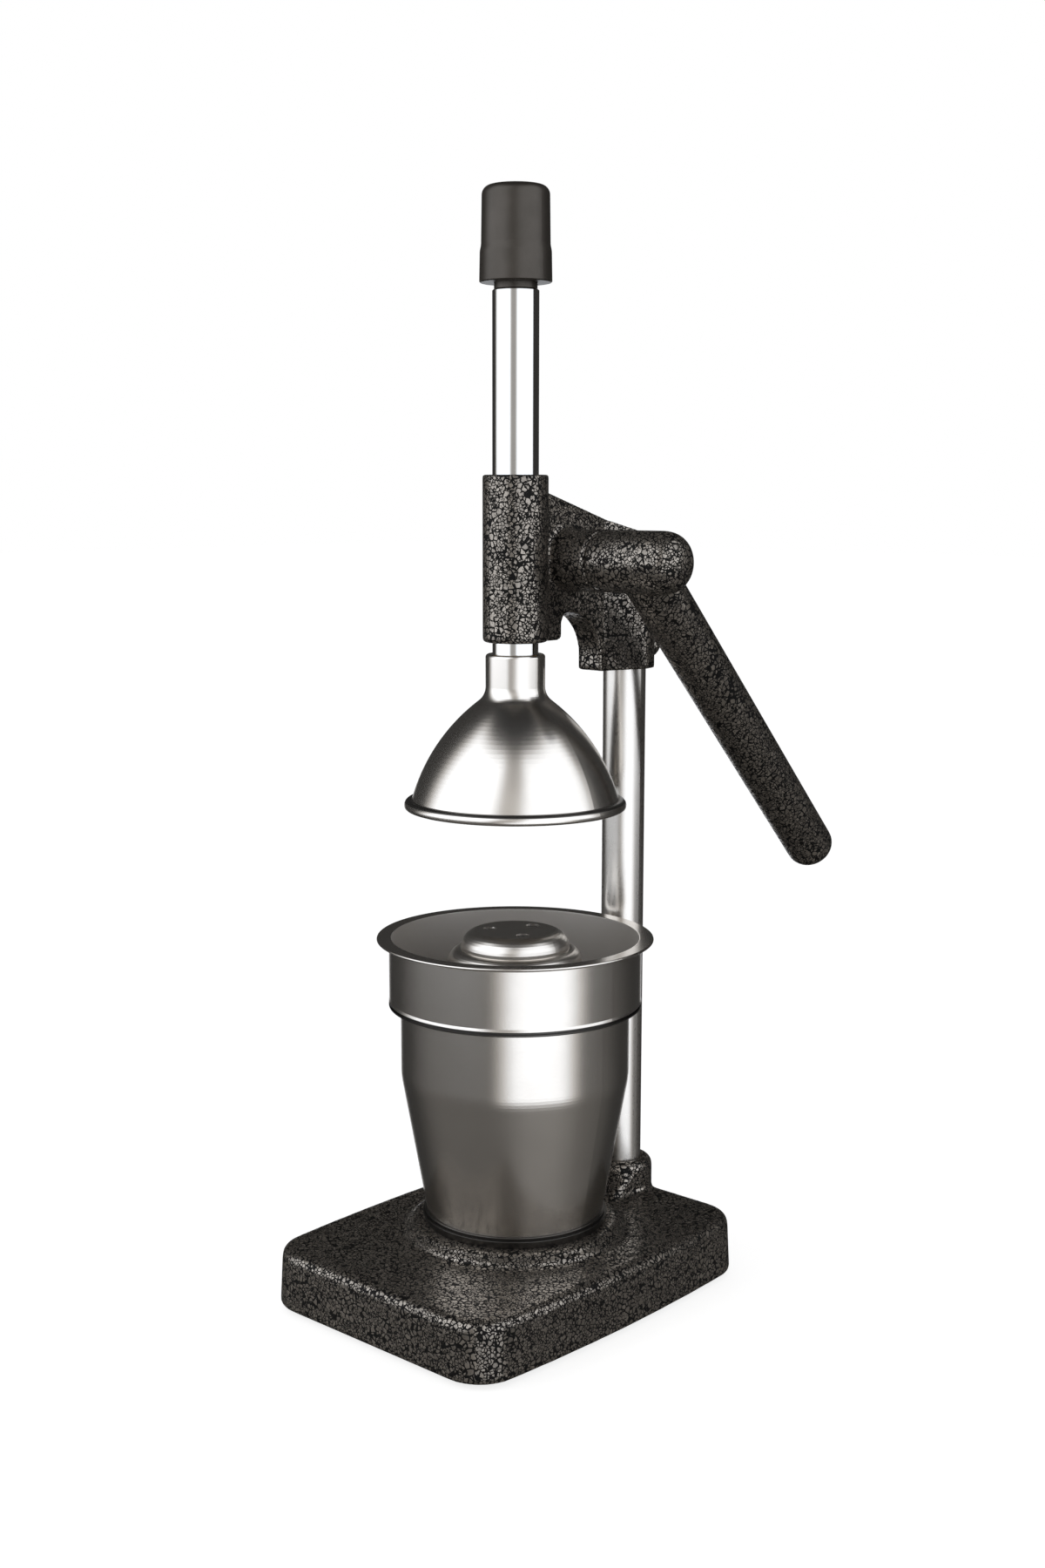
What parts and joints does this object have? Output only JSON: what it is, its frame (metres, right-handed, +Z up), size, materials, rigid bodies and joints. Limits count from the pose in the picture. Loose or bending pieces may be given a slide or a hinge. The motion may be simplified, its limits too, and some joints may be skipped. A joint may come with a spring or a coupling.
{
  "type": "lever citrus juice press",
  "caption": "Hand lever citrus press with a cast base and head on a round column, rack and pinion ram, pressing bell, hopper, reamer dome and juice cup",
  "frame": {"origin": "on the floor under the middle of the base's footprint, at the plane of the rubber feet", "axes": "+Z up along the column and ram, -Y to the front where the cup is taken out, +X to the side that carries the lever"},
  "size_m": [0.1472, 0.2731, 0.506],
  "materials": {
    "paint": "hammertone enamel, black veins round grey flakes",
    "rubber": "matte",
    "satin_steel": "satin stainless",
    "bright_steel": "bright ground steel",
    "cap_metal": "dark satin, slightly warm",
    "gear_steel": "machined, lightly oiled",
    "screw_steel": "blackened steel",
    "bronze": "plain bearing bronze"
  },
  "bodies": {
    "frame": {"base_casting": "paint", "rubber_feet": "rubber", "column_bar": "satin_steel", "column_bolt": "screw_steel", "column_washer": "screw_steel", "column_set_screw": "screw_steel", "head_casting": "paint", "clamp_screw": "screw_steel", "clamp_nut": "screw_steel", "ram_bushes": "bronze", "boss_bush": "bronze", "gear_cover": "paint", "cover_bush": "bronze", "cover_screws": "screw_steel"},
    "lever": {"pinion_shaft": "bright_steel", "pinion_gear": "gear_steel", "pinion_key": "gear_steel", "shaft_ring": "screw_steel", "lever_handle": "paint", "lever_set_screw": "screw_steel"},
    "ram": {"ram_bar": "bright_steel", "end_cap": "cap_metal", "cap_set_screw": "screw_steel", "press_bell": "satin_steel", "bell_bolt": "screw_steel", "bell_washer": "screw_steel"},
    "cup": {"receiver_cup": "satin_steel"},
    "hopper_body": {"hopper": "satin_steel"},
    "reamer": {"reamer_dome": "satin_steel"}
  },
  "joints": [
    {"name": "lever_swing", "type": "hinge", "parent": "frame", "child": "lever", "pos_m": [0, 0.031, 0.3424], "axis": [1, 0, 0], "range_deg": [0, 229]},
    {"name": "ram_slide", "type": "slide", "parent": "frame", "child": "ram", "axis": [0, 0, -1], "range_m": [0, 0.078]},
    {"name": "cup_slide", "type": "slide", "parent": "frame", "child": "cup", "axis": [0, -1, 0], "range_m": [0, 0.15]},
    {"name": "hopper_lift", "type": "slide", "parent": "cup", "child": "hopper_body", "axis": [0, 0, 1], "range_m": [0, 0.008]},
    {"name": "reamer_lift", "type": "slide", "parent": "hopper_body", "child": "reamer", "axis": [0, 0, 1], "range_m": [0, 0.003]}
  ],
  "couplings": [
    {"joint": "ram_slide", "follows": "lever_swing", "m_per_rad": 0.0195}
  ]
}
